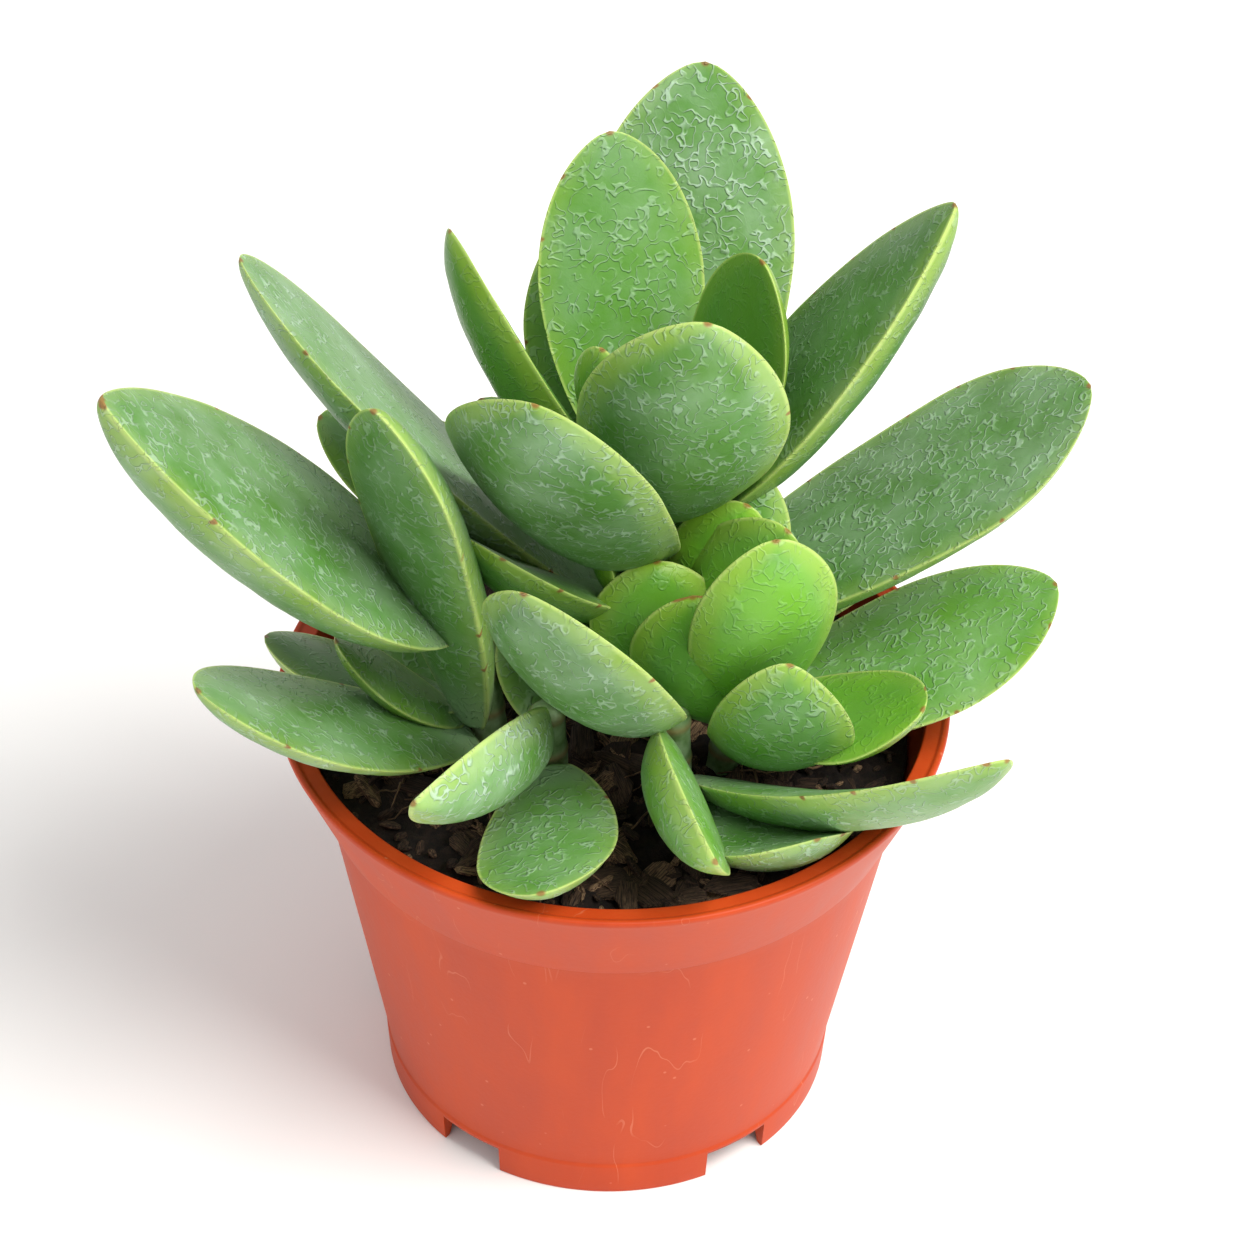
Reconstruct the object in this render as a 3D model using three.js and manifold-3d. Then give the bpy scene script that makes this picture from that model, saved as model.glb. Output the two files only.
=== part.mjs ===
// Potted crassula swaziensis: a thin nursery pot filled with bark soil, with six short leafy shoots.
// Millimetres, +Z up along the pot's axis, the ground at z = 0. The front of the plant looks towards -Y.
import * as THREE from 'three';
import { mergeVertices } from 'three/addons/utils/BufferGeometryUtils.js';
import Module from 'manifold-3d';

const wasm = await Module();
wasm.setup();

// Pot: lip, flared band, tapered body and five feet with notches between them
const POT_HEIGHT = 76.4;
const LIP_RADIUS = 52.5;
const BEAD_WIDTH = 1.3;
const BEAD_RISE = 0.4;
const LEDGE_WIDTH = 2.4;
const BAND_BOTTOM = 59.4;
const BAND_RADIUS = 46.0;
const BAND_STEP = 0.45;
const FOOT_HEIGHT = 6.3;
const FOOT_TOP_RADIUS = 37.1;
const FOOT_RADIUS = 36.7;
const WALL = 1.2;
const FLOOR_HEIGHT = 5.2;
const FLOOR_THICKNESS = 1.4;
const FOOT_COUNT = 5;
const FRONT_FOOT_ANGLE = -90;
const NOTCH_WIDTH = 11.4;
const NOTCH_HEIGHT = 5.6;
const NOTCH_REACH = 14;
const LIP_EASE = 0.4;
const FLOOR_EASE = 2;
const POT_SIDES = 60;

// Soil
const SOIL_TOP = 67.6;
const SOIL_GAP = 0.35;
const EDGE_GAP = 0.1;
const EDGE_SLOPE = 8;
const SOIL_SIDES = 40;
const SOIL_RINGS = 9;
const CHIP_RISE = 1.1;
const MOUND_RISE = 1.2;

// Stems: the foot and head of each shoot's axis, measured from the pot's axis, and its radius
const STEM_FOOT = 61;
const HOLE_FOOT = 60;
const HOLE_GAP = 0.35;
const HOLE_RISE = 8;
const STEM_SIDES = 12;
const STEM_TAPER = 0.86;
const ROOM_TAPER = 0.88;
const SHOOTS = {
  a: { foot: [4, 6], head: [5, 8, 112], radius: 3.3 },
  b: { foot: [17, -8], head: [19, -8, 86], radius: 2.9 },
  c: { foot: [-18, -8], head: [-21, -7, 96], radius: 2.9 },
  d: { foot: [10, -18], head: [9, -18, 89], radius: 2.9 },
  e: { foot: [-9, -16], head: [-10, -17, 87], radius: 3.1 },
  f: { foot: [9, -3], head: [6.5, -2, 100], radius: 2.6 },
};
const AXIS_FOOT = 62;

// Leaves: thick lens-shaped blades that sit around their stem
const STATIONS = 10;
const ACROSS = 6;
const SEAT = 4.2;
const CLEARANCE = 0.35;
const EVEN_SHARE = 0.45;
const HEEL_POINT = 0.2;
const HEEL_WIDTH = 0.27;
const HEEL_DEPTH = 0.45;
const DEEPEST_AT = 0.4;
const DEPTH_POWER = 0.62;
const SWELL_POWER = 0.75;
const KEEL_POWER = 0.8;

// Forms that the leaves share: keel depth as a share of the width, crown, arch and sway in mm,
// place of the widest part along the blade and bluntness of the point
const FORMS = {
  thin: { keel: 0.18, crown: 1, arch: 0, sway: 0, widest: 0.5, point: 0.6 },
  oval: { keel: 0.25, crown: 1, arch: 2, sway: 0, widest: 0.56, point: 0.65 },
  paddle: { keel: 0.28, crown: 1, arch: 1, sway: 0, widest: 0.7, point: 0.65 },
  boat: { keel: 0.32, crown: 1, arch: 0, sway: 0, widest: 0.4, point: 0.8 },
  spear: { keel: 0.42, crown: 2, arch: 0, sway: 0, widest: 0.7, point: 0.75 },
  bud: { keel: 0.26, crown: 1, arch: 1, sway: 0, widest: 0.55, point: 0.62 },
  bent: { keel: 0.2, crown: 1, arch: 4, sway: -3, widest: 0.55, point: 0.7 },
  cupped: { keel: 0.24, crown: 1, arch: 2, sway: 3, widest: 0.6, point: 0.65 },
};

// Each leaf: name, form, height of its seat, azimuth and rise in degrees, length, width, and turn
// about its length in degrees. The name's first letter is its shoot. Azimuth 0 is +X.
const LEAVES = [
  ['a01', 'bud', 113, 230, 75, 30, 14, 0],
  ['a02', 'oval', 110, 285, 65, 54, 30, -20],
  ['a03', 'oval', 111, 110, 70, 52, 25, -5],
  ['a04', 'oval', 111, 0, 75, 42, 24, 30],
  ['a05', 'oval', 109, 175, 60, 52, 24, 30],
  ['a06', 'boat', 106, 0, 56, 68, 28, 5],
  ['a07', 'cupped', 102, 245, 55, 60, 34, 0],
  ['a08', 'oval', 102, 80, 60, 69, 33, 0],
  ['a09', 'oval', 104, 110, 45, 45, 24, 5],
  ['a10', 'oval', 94, 165, 20, 52, 22, -15],
  ['a11', 'paddle', 88, 185, 50, 86, 28, 10],
  ['a12', 'oval', 92, 220, 40, 40, 22, 10],
  ['a13', 'paddle', 84, 8, 33, 75, 34, 0],
  ['a14', 'oval', 88, 80, 15, 46, 24, 0],
  ['a15', 'oval', 86, 125, 15, 45, 24, 0],
  ['a16', 'oval', 79, 35, 10, 48, 24, 0],
  ['b01', 'bud', 84, 285, 75, 42, 22, 0],
  ['b02', 'bud', 82, 230, 75, 28, 22, 40],
  ['b03', 'oval', 82, -30, 24, 30, 20, 10],
  ['b04', 'bent', 76, 290, 60, 35, 21, -25],
  ['b05', 'oval', 78, 15, 20, 50, 30, 0],
  ['c01', 'spear', 78, 230, 75, 72, 20, 180],
  ['c02', 'boat', 98, 205, 47, 74, 36, -10],
  ['c03', 'bud', 77, 195, 45, 27, 14, 0],
  ['c04', 'bud', 78, 170, 15, 32, 20, 20],
  ['c05', 'oval', 76, 220, 35, 58, 24, -5],
  ['c06', 'bud', 76, 120, 10, 32, 20, 0],
  ['d01', 'oval', 90, 225, 55, 46, 28, 15],
  ['d02', 'bud', 84, 145, 30, 27, 20, 0],
  ['d03', 'boat', 83, 280, 12, 32, 22, -65],
  ['d04', 'bent', 76, 330, 29, 57, 26, -35],
  ['d05', 'bent', 75, 310, 20, 30, 26, -15],
  ['e01', 'boat', 84, 245, 25, 42, 20, 65],
  ['e02', 'oval', 78, 270, 10, 34, 21, 15],
  ['e03', 'bud', 80, 110, 60, 18, 10, 0],
  ['f01', 'thin', 94, -15, 70, 25, 15, -90],
  ['f02', 'thin', 92, 10, 70, 29, 19, -115],
  ['f03', 'bud', 84, 255, 85, 25, 20, 20],
  ['f04', 'thin', 84, -30, 65, 38, 21, -95],
  ['f05', 'bud', 97, 185, 75, 16, 13, 0],
];

// Leaves in the order in which they keep their full form where two meet at a stem
const FRONT_FIRST = [
  'e02', 'd03', 'd05', 'e01', 'd01', 'b04', 'b03', 'b01', 'c05', 'c03', 'c01', 'a02', 'a07',
  'd04', 'b05', 'b02', 'f03', 'c04', 'c02', 'a11', 'a04', 'a06', 'a13', 'a03', 'a05', 'a09',
  'a08', 'f04', 'f01', 'f02', 'f05', 'a12', 'a10', 'a01', 'd02', 'e03', 'c06',
  'a14', 'a15', 'a16',
];

// Colours of the leaves, the pot and the soil
const LEAF_GREEN = 0x6a9a4a;
const YOUNG_GREEN = 0x8fc046;
const STEM_GREEN = 0x7d9a55;
const POT_ORANGE = 0xd95a37;
const SOIL_BROWN = 0x2b201a;
const YOUNG = ['b01', 'b02', 'b03', 'f01', 'f02', 'f03', 'f04', 'f05'];

const UP = new THREE.Vector3(0, 0, 1);
const radians = THREE.MathUtils.degToRad;
const clamp = THREE.MathUtils.clamp;

const part = new THREE.Group();

// A closed geometry as a solid that can be cut
function toSolid(geometry) {
  const bare = geometry.clone();
  bare.deleteAttribute('normal');
  bare.deleteAttribute('uv');
  const merged = mergeVertices(bare, 1e-5);
  const vertProperties = new Float32Array(merged.attributes.position.array);
  const triVerts = new Uint32Array(merged.index.array);
  return new wasm.Manifold(new wasm.Mesh({ numProp: 3, vertProperties, triVerts }));
}

// The largest whole piece of a solid as a geometry
function toGeometry(solid) {
  const pieces = solid.decompose();
  pieces.sort((one, other) => other.volume() - one.volume());
  const mesh = pieces[0].getMesh();
  const geometry = new THREE.BufferGeometry();
  const places = new Float32Array(mesh.vertProperties);
  geometry.setAttribute('position', new THREE.BufferAttribute(places, 3));
  geometry.setIndex(Array.from(mesh.triVerts));
  geometry.computeVertexNormals();
  return geometry;
}

function addMesh(name, geometry, color, roughness) {
  const material = new THREE.MeshStandardMaterial({ color, roughness, metalness: 0 });
  const mesh = new THREE.Mesh(geometry, material);
  mesh.name = name;
  part.add(mesh);
  return mesh;
}

// A body of revolution about +Z from a profile of [radius, height] pairs
function turned(profile, sides) {
  const points = profile.map(([radius, height]) => new THREE.Vector2(radius, height));
  const geometry = new THREE.LatheGeometry(points, sides);
  geometry.rotateX(Math.PI / 2);
  return geometry;
}

// The pot: a turned wall with notches cut between its feet
function potSolid() {
  const bodyTop = BAND_RADIUS - BAND_STEP;
  const innerLip = LIP_RADIUS - BEAD_WIDTH;
  const ledge = innerLip - LEDGE_WIDTH;
  const ledgeHeight = POT_HEIGHT - BEAD_RISE;
  const innerFoot = FOOT_TOP_RADIUS - WALL;
  const innerBand = BAND_RADIUS - WALL;
  const profile = [
    [0, FLOOR_HEIGHT - FLOOR_THICKNESS],
    [FOOT_RADIUS - 2 * WALL, FLOOR_HEIGHT - FLOOR_THICKNESS],
    [FOOT_RADIUS - WALL, 0],
    [FOOT_RADIUS, 0],
    [FOOT_TOP_RADIUS, FOOT_HEIGHT],
    [bodyTop, BAND_BOTTOM],
    [BAND_RADIUS, BAND_BOTTOM + BAND_STEP / 2],
    [LIP_RADIUS - LIP_EASE, POT_HEIGHT - 4 * LIP_EASE],
    [LIP_RADIUS, POT_HEIGHT - LIP_EASE],
    [LIP_RADIUS - LIP_EASE, POT_HEIGHT],
    [innerLip, ledgeHeight],
    [ledge, ledgeHeight],
    [innerBand, BAND_BOTTOM],
    [innerFoot, FLOOR_HEIGHT + FLOOR_EASE],
    [innerFoot - FLOOR_EASE, FLOOR_HEIGHT],
    [0, FLOOR_HEIGHT],
  ];
  let solid = toSolid(turned(profile, POT_SIDES));
  for (let foot = 0; foot < FOOT_COUNT; foot += 1) {
    const angle = radians(FRONT_FOOT_ANGLE + (foot + 0.5) * 360 / FOOT_COUNT);
    const notch = new THREE.BoxGeometry(NOTCH_REACH, NOTCH_WIDTH, NOTCH_HEIGHT * 2);
    notch.translate(FOOT_RADIUS, 0, 0);
    notch.rotateZ(angle);
    solid = solid.subtract(toSolid(notch));
  }
  return solid;
}
const pot = potSolid();
addMesh('pot', toGeometry(pot), POT_ORANGE, 0.45);

// A point on a shoot's axis
function shootPoint(key, height) {
  const { foot, head } = SHOOTS[key];
  const share = (height - AXIS_FOOT) / (head[2] - AXIS_FOOT);
  const x = foot[0] + (head[0] - foot[0]) * share;
  const y = foot[1] + (head[1] - foot[1]) * share;
  return new THREE.Vector3(x, y, height);
}

// A round post along a shoot's axis, its top narrower by the taper
function post(key, bottom, top, radius, taper) {
  const start = shootPoint(key, bottom);
  const end = shootPoint(key, top);
  const length = start.distanceTo(end);
  const geometry = new THREE.CylinderGeometry(radius * taper, radius, length, STEM_SIDES, 1);
  geometry.rotateX(Math.PI / 2);
  geometry.translate(0, 0, length / 2);
  const lean = new THREE.Quaternion().setFromUnitVectors(UP, end.clone().sub(start).normalize());
  geometry.applyQuaternion(lean);
  geometry.translate(start.x, start.y, start.z);
  return geometry;
}

// Rise of the bark chips at a place on the soil: coarse waves about 8 mm long under finer ones
function chips(x, y) {
  const bentX = x * 0.83 + 1.7 * Math.sin(y * 0.31);
  const bentY = y * 0.71 + 0.6 * Math.cos(x * 0.47);
  const coarse = Math.sin(bentX) * Math.sin(bentY);
  const fine = Math.sin(x * 1.9 - y * 1.3) * Math.cos(y * 2.1 + x * 0.7);
  return CHIP_RISE * (0.65 * coarse + 0.35 * fine);
}

// The pot's filling, domed and rough on top
function soilGeometry() {
  const innerFoot = FOOT_TOP_RADIUS - WALL - SOIL_GAP;
  const innerBand = BAND_RADIUS - WALL - SOIL_GAP;
  const innerLedge = LIP_RADIUS - BEAD_WIDTH - LEDGE_WIDTH - SOIL_GAP;
  const rise = (SOIL_TOP - BAND_BOTTOM) / (POT_HEIGHT - BEAD_RISE - BAND_BOTTOM);
  const edge = innerBand + (innerLedge - innerBand) * rise - EDGE_GAP;
  const profile = [
    [0, FLOOR_HEIGHT + SOIL_GAP],
    [innerFoot - FLOOR_EASE, FLOOR_HEIGHT + SOIL_GAP],
    [innerFoot, FLOOR_HEIGHT + FLOOR_EASE + SOIL_GAP],
    [innerBand, BAND_BOTTOM],
    [edge, SOIL_TOP],
  ];
  for (let ring = SOIL_RINGS - 1; ring >= 0; ring -= 1) {
    profile.push([edge * ring / SOIL_RINGS, SOIL_TOP]);
  }
  const geometry = turned(profile, SOIL_SIDES);
  const places = geometry.attributes.position;
  for (let i = 0; i < places.count; i += 1) {
    if (places.getZ(i) > SOIL_TOP - 0.01) {
      const x = places.getX(i);
      const y = places.getY(i);
      const inward = 1 - Math.hypot(x, y) / edge;
      const share = clamp(inward * EDGE_SLOPE, 0, 1);
      places.setZ(i, SOIL_TOP + share * (chips(x, y) + MOUND_RISE * inward));
    }
  }
  return geometry;
}

// Each stem stands in a plain hole in the soil and keeps room around it among the leaves
const stems = {};
let soil = toSolid(soilGeometry());
for (const key of Object.keys(SHOOTS)) {
  const { head, radius } = SHOOTS[key];
  const hole = post(key, HOLE_FOOT, SOIL_TOP + HOLE_RISE, radius + HOLE_GAP, 1);
  soil = soil.subtract(toSolid(hole));
  const geometry = post(key, STEM_FOOT, head[2], radius, STEM_TAPER);
  const room = post(key, STEM_FOOT, head[2] + CLEARANCE, radius + CLEARANCE, ROOM_TAPER);
  stems[key] = { geometry, room: toSolid(room) };
}
addMesh('soil', toGeometry(soil), SOIL_BROWN, 0.95);
for (const key of Object.keys(SHOOTS)) {
  addMesh(`stem_${key}`, stems[key].geometry, STEM_GREEN, 0.6);
}

// Half width of a blade along its length, as a share of its greatest
function widthAt(s, widest, point) {
  if (s < widest) {
    const swell = Math.sin(Math.PI / 2 * (s / widest) ** SWELL_POWER);
    return HEEL_WIDTH + (1 - HEEL_WIDTH) * swell;
  }
  return (1 - ((s - widest) / (1 - widest)) ** 2) ** point;
}

// Depth of a blade along its length, as a share of its greatest
function depthAt(s) {
  if (s < DEEPEST_AT) {
    const swell = Math.sin(Math.PI / 2 * (s / DEEPEST_AT) ** SWELL_POWER);
    return HEEL_DEPTH + (1 - HEEL_DEPTH) * swell;
  }
  return (1 - ((s - DEEPEST_AT) / (1 - DEEPEST_AT)) ** 2) ** DEPTH_POWER;
}

// A blade as a closed skin: rings from heel to tip, an upper and a lower face and a sharp margin.
// With a swell above zero it grows by about that much on all sides.
function leafGeometry(row, swell) {
  const [name, form, height, azimuth, rise, length, width, turn] = row;
  const { crown, arch, sway, widest, point } = FORMS[form];
  const keel = width * FORMS[form].keel;
  const a = radians(azimuth);
  const e = radians(rise);
  const out = new THREE.Vector3(Math.cos(a), Math.sin(a), 0);
  const base = shootPoint(name[0], height).addScaledVector(out, SEAT);
  const along = out.clone().multiplyScalar(Math.cos(e)).addScaledVector(UP, Math.sin(e));
  const face = UP.clone().addScaledVector(along, -along.z).normalize();
  const side = along.clone().cross(face);
  const upper = face.clone().multiplyScalar(Math.cos(radians(turn)));
  upper.addScaledVector(side, Math.sin(radians(turn)));
  const across = along.clone().cross(upper);
  const places = [];
  const push = (centre, wide, high) => {
    const p = centre.clone().addScaledVector(across, wide).addScaledVector(upper, high);
    places.push(p.x, p.y, p.z);
  };
  const rings = STATIONS - 1;
  for (let i = 0; i < rings; i += 1) {
    const even = i / rings;
    const eased = 0.5 - 0.5 * Math.cos(Math.PI * even);
    const s = eased + (even - eased) * EVEN_SHARE;
    const half = width / 2 * widthAt(s, widest, point) + swell;
    const deep = depthAt(s);
    const bow = 4 * s * (1 - s);
    const centre = base.clone().addScaledVector(along, length * s - (i === 0 ? swell : 0));
    centre.addScaledVector(upper, -arch * bow).addScaledVector(across, sway * bow);
    for (let j = 0; j <= ACROSS; j += 1) {
      const t = -Math.cos(Math.PI * j / ACROSS);
      push(centre, half * t, (crown * deep + swell) * (1 - t * t));
    }
    for (let j = ACROSS - 1; j > 0; j -= 1) {
      const t = -Math.cos(Math.PI * j / ACROSS);
      push(centre, half * t, -(keel * deep + swell) * (1 - t * t) ** KEEL_POWER);
    }
  }
  push(base.clone().addScaledVector(along, -swell), 0, -keel * HEEL_POINT);
  push(base.clone().addScaledVector(along, length + swell), 0, 0);
  const around = 2 * ACROSS;
  const heel = rings * around;
  const tip = heel + 1;
  const index = [];
  for (let j = 0; j < around; j += 1) {
    const next = (j + 1) % around;
    index.push(heel, next, j);
    for (let i = 0; i < rings - 1; i += 1) {
      const low = i * around;
      const high = low + around;
      index.push(low + j, low + next, high + next);
      index.push(low + j, high + next, high + j);
    }
    const last = (rings - 1) * around;
    index.push(last + j, last + next, tip);
  }
  const geometry = new THREE.BufferGeometry();
  geometry.setAttribute('position', new THREE.Float32BufferAttribute(places, 3));
  geometry.setIndex(index);
  return geometry;
}

// Each blade is cut back from the stems and from the blades that keep their form before it
const placed = Object.values(stems).map(({ room }) => room);
const cut = {};
for (const name of FRONT_FIRST) {
  const row = LEAVES.find(([other]) => other === name);
  let solid = toSolid(leafGeometry(row, 0));
  for (const room of placed) {
    solid = solid.subtract(room);
  }
  cut[name] = toGeometry(solid);
  placed.push(toSolid(leafGeometry(row, CLEARANCE)));
}
for (const [name] of LEAVES) {
  const color = YOUNG.includes(name) ? YOUNG_GREEN : LEAF_GREEN;
  addMesh(`leaf_${name}`, cut[name], color, 0.5);
}

export default part;
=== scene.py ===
"""A potted crassula: thick waxy leaves on six short shoots, bark soil and a moulded nursery pot."""
import math
import random

import bpy
import numpy as np
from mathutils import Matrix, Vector, noise


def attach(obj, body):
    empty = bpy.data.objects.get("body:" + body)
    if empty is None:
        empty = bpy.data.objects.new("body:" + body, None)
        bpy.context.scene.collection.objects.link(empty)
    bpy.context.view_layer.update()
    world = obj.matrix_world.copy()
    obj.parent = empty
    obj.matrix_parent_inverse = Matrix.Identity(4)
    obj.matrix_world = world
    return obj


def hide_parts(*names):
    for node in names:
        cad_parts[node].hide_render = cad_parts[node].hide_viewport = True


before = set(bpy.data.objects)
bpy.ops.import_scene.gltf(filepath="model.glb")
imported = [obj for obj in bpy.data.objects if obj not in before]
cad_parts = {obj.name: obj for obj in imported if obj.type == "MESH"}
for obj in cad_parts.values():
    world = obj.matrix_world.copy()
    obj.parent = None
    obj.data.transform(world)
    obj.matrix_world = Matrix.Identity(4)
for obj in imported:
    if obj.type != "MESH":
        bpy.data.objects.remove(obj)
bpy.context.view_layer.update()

MM = 0.001

# Pot, in mm, with the angle in degrees
POT_HEIGHT = 76.4
LIP_RADIUS = 52.5
BEAD_WIDTH = 1.3
BEAD_RISE = 0.4
LEDGE_WIDTH = 2.4
BAND_BOTTOM = 59.4
BAND_RADIUS = 46.0
BAND_STEP = 0.45
FOOT_HEIGHT = 6.3
FOOT_TOP_RADIUS = 37.1
FOOT_RADIUS = 36.7
WALL = 1.2
FLOOR_HEIGHT = 5.2
FLOOR_THICKNESS = 1.4
FOOT_COUNT = 5
FRONT_FOOT_ANGLE = -90
NOTCH_WIDTH = 11.4
NOTCH_HEIGHT = 5.6
NOTCH_REACH = 14
FLOOR_EASE = 2
CORNER_ROUND = 0.35
PROFILE_STEP = 2.4
POT_SIDES = 240

# Soil, in mm
SOIL_TOP = 67.6
SOIL_GAP = 0.35
CHIP_RISE = 1.1
MOUND_RISE = 1.2
EDGE_GAP = 0.1
EDGE_SLOPE = 8
SOIL_RINGS = 60
SOIL_SIDES = 180
CHIP_COUNT = 900
LARGE_SHARE = 0.30
LARGE_LENGTHS = (5.0, 11.0)
SMALL_LENGTHS = (1.6, 4.5)
TAN_SHARE = 0.20
FIBRE_COUNT = 70
FIBRE_LENGTHS = (6.0, 20.0)
FIBRE_RADII = (0.12, 0.32)

# Stems: foot and head of each shoot's axis from the pot's axis, and its radius, in mm
AXIS_FOOT = 62
STEM_FOOT = 61
SHOOTS = {
    "a": ((4, 6), (5, 8, 112), 3.3),
    "b": ((17, -8), (19, -8, 86), 2.9),
    "c": ((-18, -8), (-21, -7, 96), 2.9),
    "d": ((10, -18), (9, -18, 89), 2.9),
    "e": ((-9, -16), (-10, -17, 87), 3.1),
    "f": ((9, -3), (6.5, -2, 100), 2.6),
}

# Old leaf rings on a stem and its outline, in mm or as shares
RING_SPACING = 7.0
RING_WIDTH = 0.7
RING_RISE = 0.18
SCAR_TINT = 0.7
STEM_TAPER = 0.14
HEAD_START = 0.94
HEAD_LENGTH = 0.062
WOBBLE_SHARE = 0.04
WOBBLE_SIZE = 3.0

# Leaf form shared by all blades
SEAT = 4.2
HEEL_WIDTH = 0.27
HEEL_DEPTH = 0.45
DEEPEST_AT = 0.4
DEPTH_POWER = 0.62
SWELL_POWER = 0.75
KEEL_POWER = 0.8
LEAF_STEP = 1.0
MARGIN_BEAD = 0.22
MARGIN_WIDTH = 0.45
LEAST_RINGS = 24
LEAST_SIDES = 8
SIDE_STEP = 2.2
WAVER_SHARE = 0.012
WAVER_SIZE = 9.0
SWELLING_RISE = 0.16
SWELLING_SIZE = 6.0
DIMPLE_RISE = 0.07
DIMPLE_SIZE = 2.6

# Forms that the leaves share: keel depth as a share of the width, crown, arch, sway, place of the
# widest part and bluntness of the point
FORMS = {
    "thin": (0.18, 1, 0, 0, 0.5, 0.6),
    "oval": (0.25, 1, 2, 0, 0.56, 0.65),
    "paddle": (0.28, 1, 1, 0, 0.7, 0.65),
    "boat": (0.32, 1, 0, 0, 0.4, 0.8),
    "spear": (0.42, 2, 0, 0, 0.7, 0.75),
    "bud": (0.26, 1, 1, 0, 0.55, 0.62),
    "bent": (0.2, 1, 4, -3, 0.55, 0.7),
    "cupped": (0.24, 1, 2, 3, 0.6, 0.65),
}

# Each leaf: name, form, height of its seat, azimuth and rise in degrees, length, width and turn
LEAVES = [
    ("a01", "bud", 113, 230, 75, 30, 14, 0),
    ("a02", "oval", 110, 285, 65, 54, 30, -20),
    ("a03", "oval", 111, 110, 70, 52, 25, -5),
    ("a04", "oval", 111, 0, 75, 42, 24, 30),
    ("a05", "oval", 109, 175, 60, 52, 24, 30),
    ("a06", "boat", 106, 0, 56, 68, 28, 5),
    ("a07", "cupped", 102, 245, 55, 60, 34, 0),
    ("a08", "oval", 102, 80, 60, 69, 33, 0),
    ("a09", "oval", 104, 110, 45, 45, 24, 5),
    ("a10", "oval", 94, 165, 20, 52, 22, -15),
    ("a11", "paddle", 88, 185, 50, 86, 28, 10),
    ("a12", "oval", 92, 220, 40, 40, 22, 10),
    ("a13", "paddle", 84, 8, 33, 75, 34, 0),
    ("a14", "oval", 88, 80, 15, 46, 24, 0),
    ("a15", "oval", 86, 125, 15, 45, 24, 0),
    ("a16", "oval", 79, 35, 10, 48, 24, 0),
    ("b01", "bud", 84, 285, 75, 42, 22, 0),
    ("b02", "bud", 82, 230, 75, 28, 22, 40),
    ("b03", "oval", 82, -30, 24, 30, 20, 10),
    ("b04", "bent", 76, 290, 60, 35, 21, -25),
    ("b05", "oval", 78, 15, 20, 50, 30, 0),
    ("c01", "spear", 78, 230, 75, 72, 20, 180),
    ("c02", "boat", 98, 205, 47, 74, 36, -10),
    ("c03", "bud", 77, 195, 45, 27, 14, 0),
    ("c04", "bud", 78, 170, 15, 32, 20, 20),
    ("c05", "oval", 76, 220, 35, 58, 24, -5),
    ("c06", "bud", 76, 120, 10, 32, 20, 0),
    ("d01", "oval", 90, 225, 55, 46, 28, 15),
    ("d02", "bud", 84, 145, 30, 27, 20, 0),
    ("d03", "boat", 83, 280, 12, 32, 22, -65),
    ("d04", "bent", 76, 330, 29, 57, 26, -35),
    ("d05", "bent", 75, 310, 20, 30, 26, -15),
    ("e01", "boat", 84, 245, 25, 42, 20, 65),
    ("e02", "oval", 78, 270, 10, 34, 21, 15),
    ("e03", "bud", 80, 110, 60, 18, 10, 0),
    ("f01", "thin", 94, -15, 70, 25, 15, -90),
    ("f02", "thin", 92, 10, 70, 29, 19, -115),
    ("f03", "bud", 84, 255, 85, 25, 20, 20),
    ("f04", "thin", 84, -30, 65, 38, 21, -95),
    ("f05", "bud", 97, 185, 75, 16, 13, 0),
]

# Each leaf's youth, from old dark green to new bright green, and how much wax bloom it carries
SKIN = {
    "a01": (0.60, 0.20), "a02": (0.35, 0.50), "a03": (0.50, 0.40), "a04": (0.45, 0.05),
    "a05": (0.45, 0.10), "a06": (0.20, 0.30), "a07": (0.30, 0.60), "a08": (0.40, 0.80),
    "a09": (0.50, 0.30), "a10": (0.20, 0.20), "a11": (0.35, 0.65), "a12": (0.30, 0.20),
    "a13": (0.25, 0.50), "a14": (0.30, 0.40), "a15": (0.35, 0.40), "a16": (0.30, 0.40),
    "b01": (0.85, 0.15), "b02": (0.60, 0.08), "b03": (0.70, 0.05), "b04": (0.50, 0.40),
    "b05": (0.55, 0.40), "c01": (0.25, 0.40), "c02": (0.30, 0.50), "c03": (0.50, 0.40),
    "c04": (0.15, 0.10), "c05": (0.35, 0.50), "c06": (0.30, 0.30), "d01": (0.20, 0.50),
    "d02": (0.40, 0.20), "d03": (0.60, 0.40), "d04": (0.45, 0.50), "d05": (0.30, 0.50),
    "e01": (0.50, 0.85), "e02": (0.45, 0.45), "e03": (0.40, 0.40), "f01": (1.00, 0.05),
    "f02": (0.55, 0.50), "f03": (0.60, 0.10), "f04": (0.90, 0.10), "f05": (0.90, 0.05),
}

# Camera: where it looks, from how far and how high, and how it was held
LOOK_AT = (1.8, 0.0, 88.6)
DISTANCE = 560.0
ELEVATION = 40.0
ROLL = 1.4
PHOTO_WIDTH = 1254
FOCAL_PIXELS = 3640.0
SENSOR = 36.0


def linear(hex_colour):
    """An sRGB hex colour as linear RGBA."""
    channels = []
    for start in (1, 3, 5):
        value = int(hex_colour[start:start + 2], 16) / 255
        if value <= 0.04045:
            channels.append(value / 12.92)
        else:
            channels.append(((value + 0.055) / 1.055) ** 2.4)
    return (*channels, 1.0)


def add(tree, kind, settings=None, links=None):
    """Adds a node, gives it its settings and input values, and links sockets to its inputs.

    Numbered inputs of Map Range are 0 value, 1 and 2 the range read, 3 and 4 the range given.
    Those of a colour Mix are 0 the share, 6 and 7 the colours, and its colour output is 2."""
    made = tree.nodes.new(kind)
    for key, value in (settings or {}).items():
        if isinstance(key, int) or key in made.inputs:
            made.inputs[key].default_value = value
        else:
            setattr(made, key, value)
    for key, source in (links or {}).items():
        socket = source if isinstance(source, bpy.types.NodeSocket) else source.outputs[0]
        tree.links.new(socket, made.inputs[key])
    return made


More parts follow.
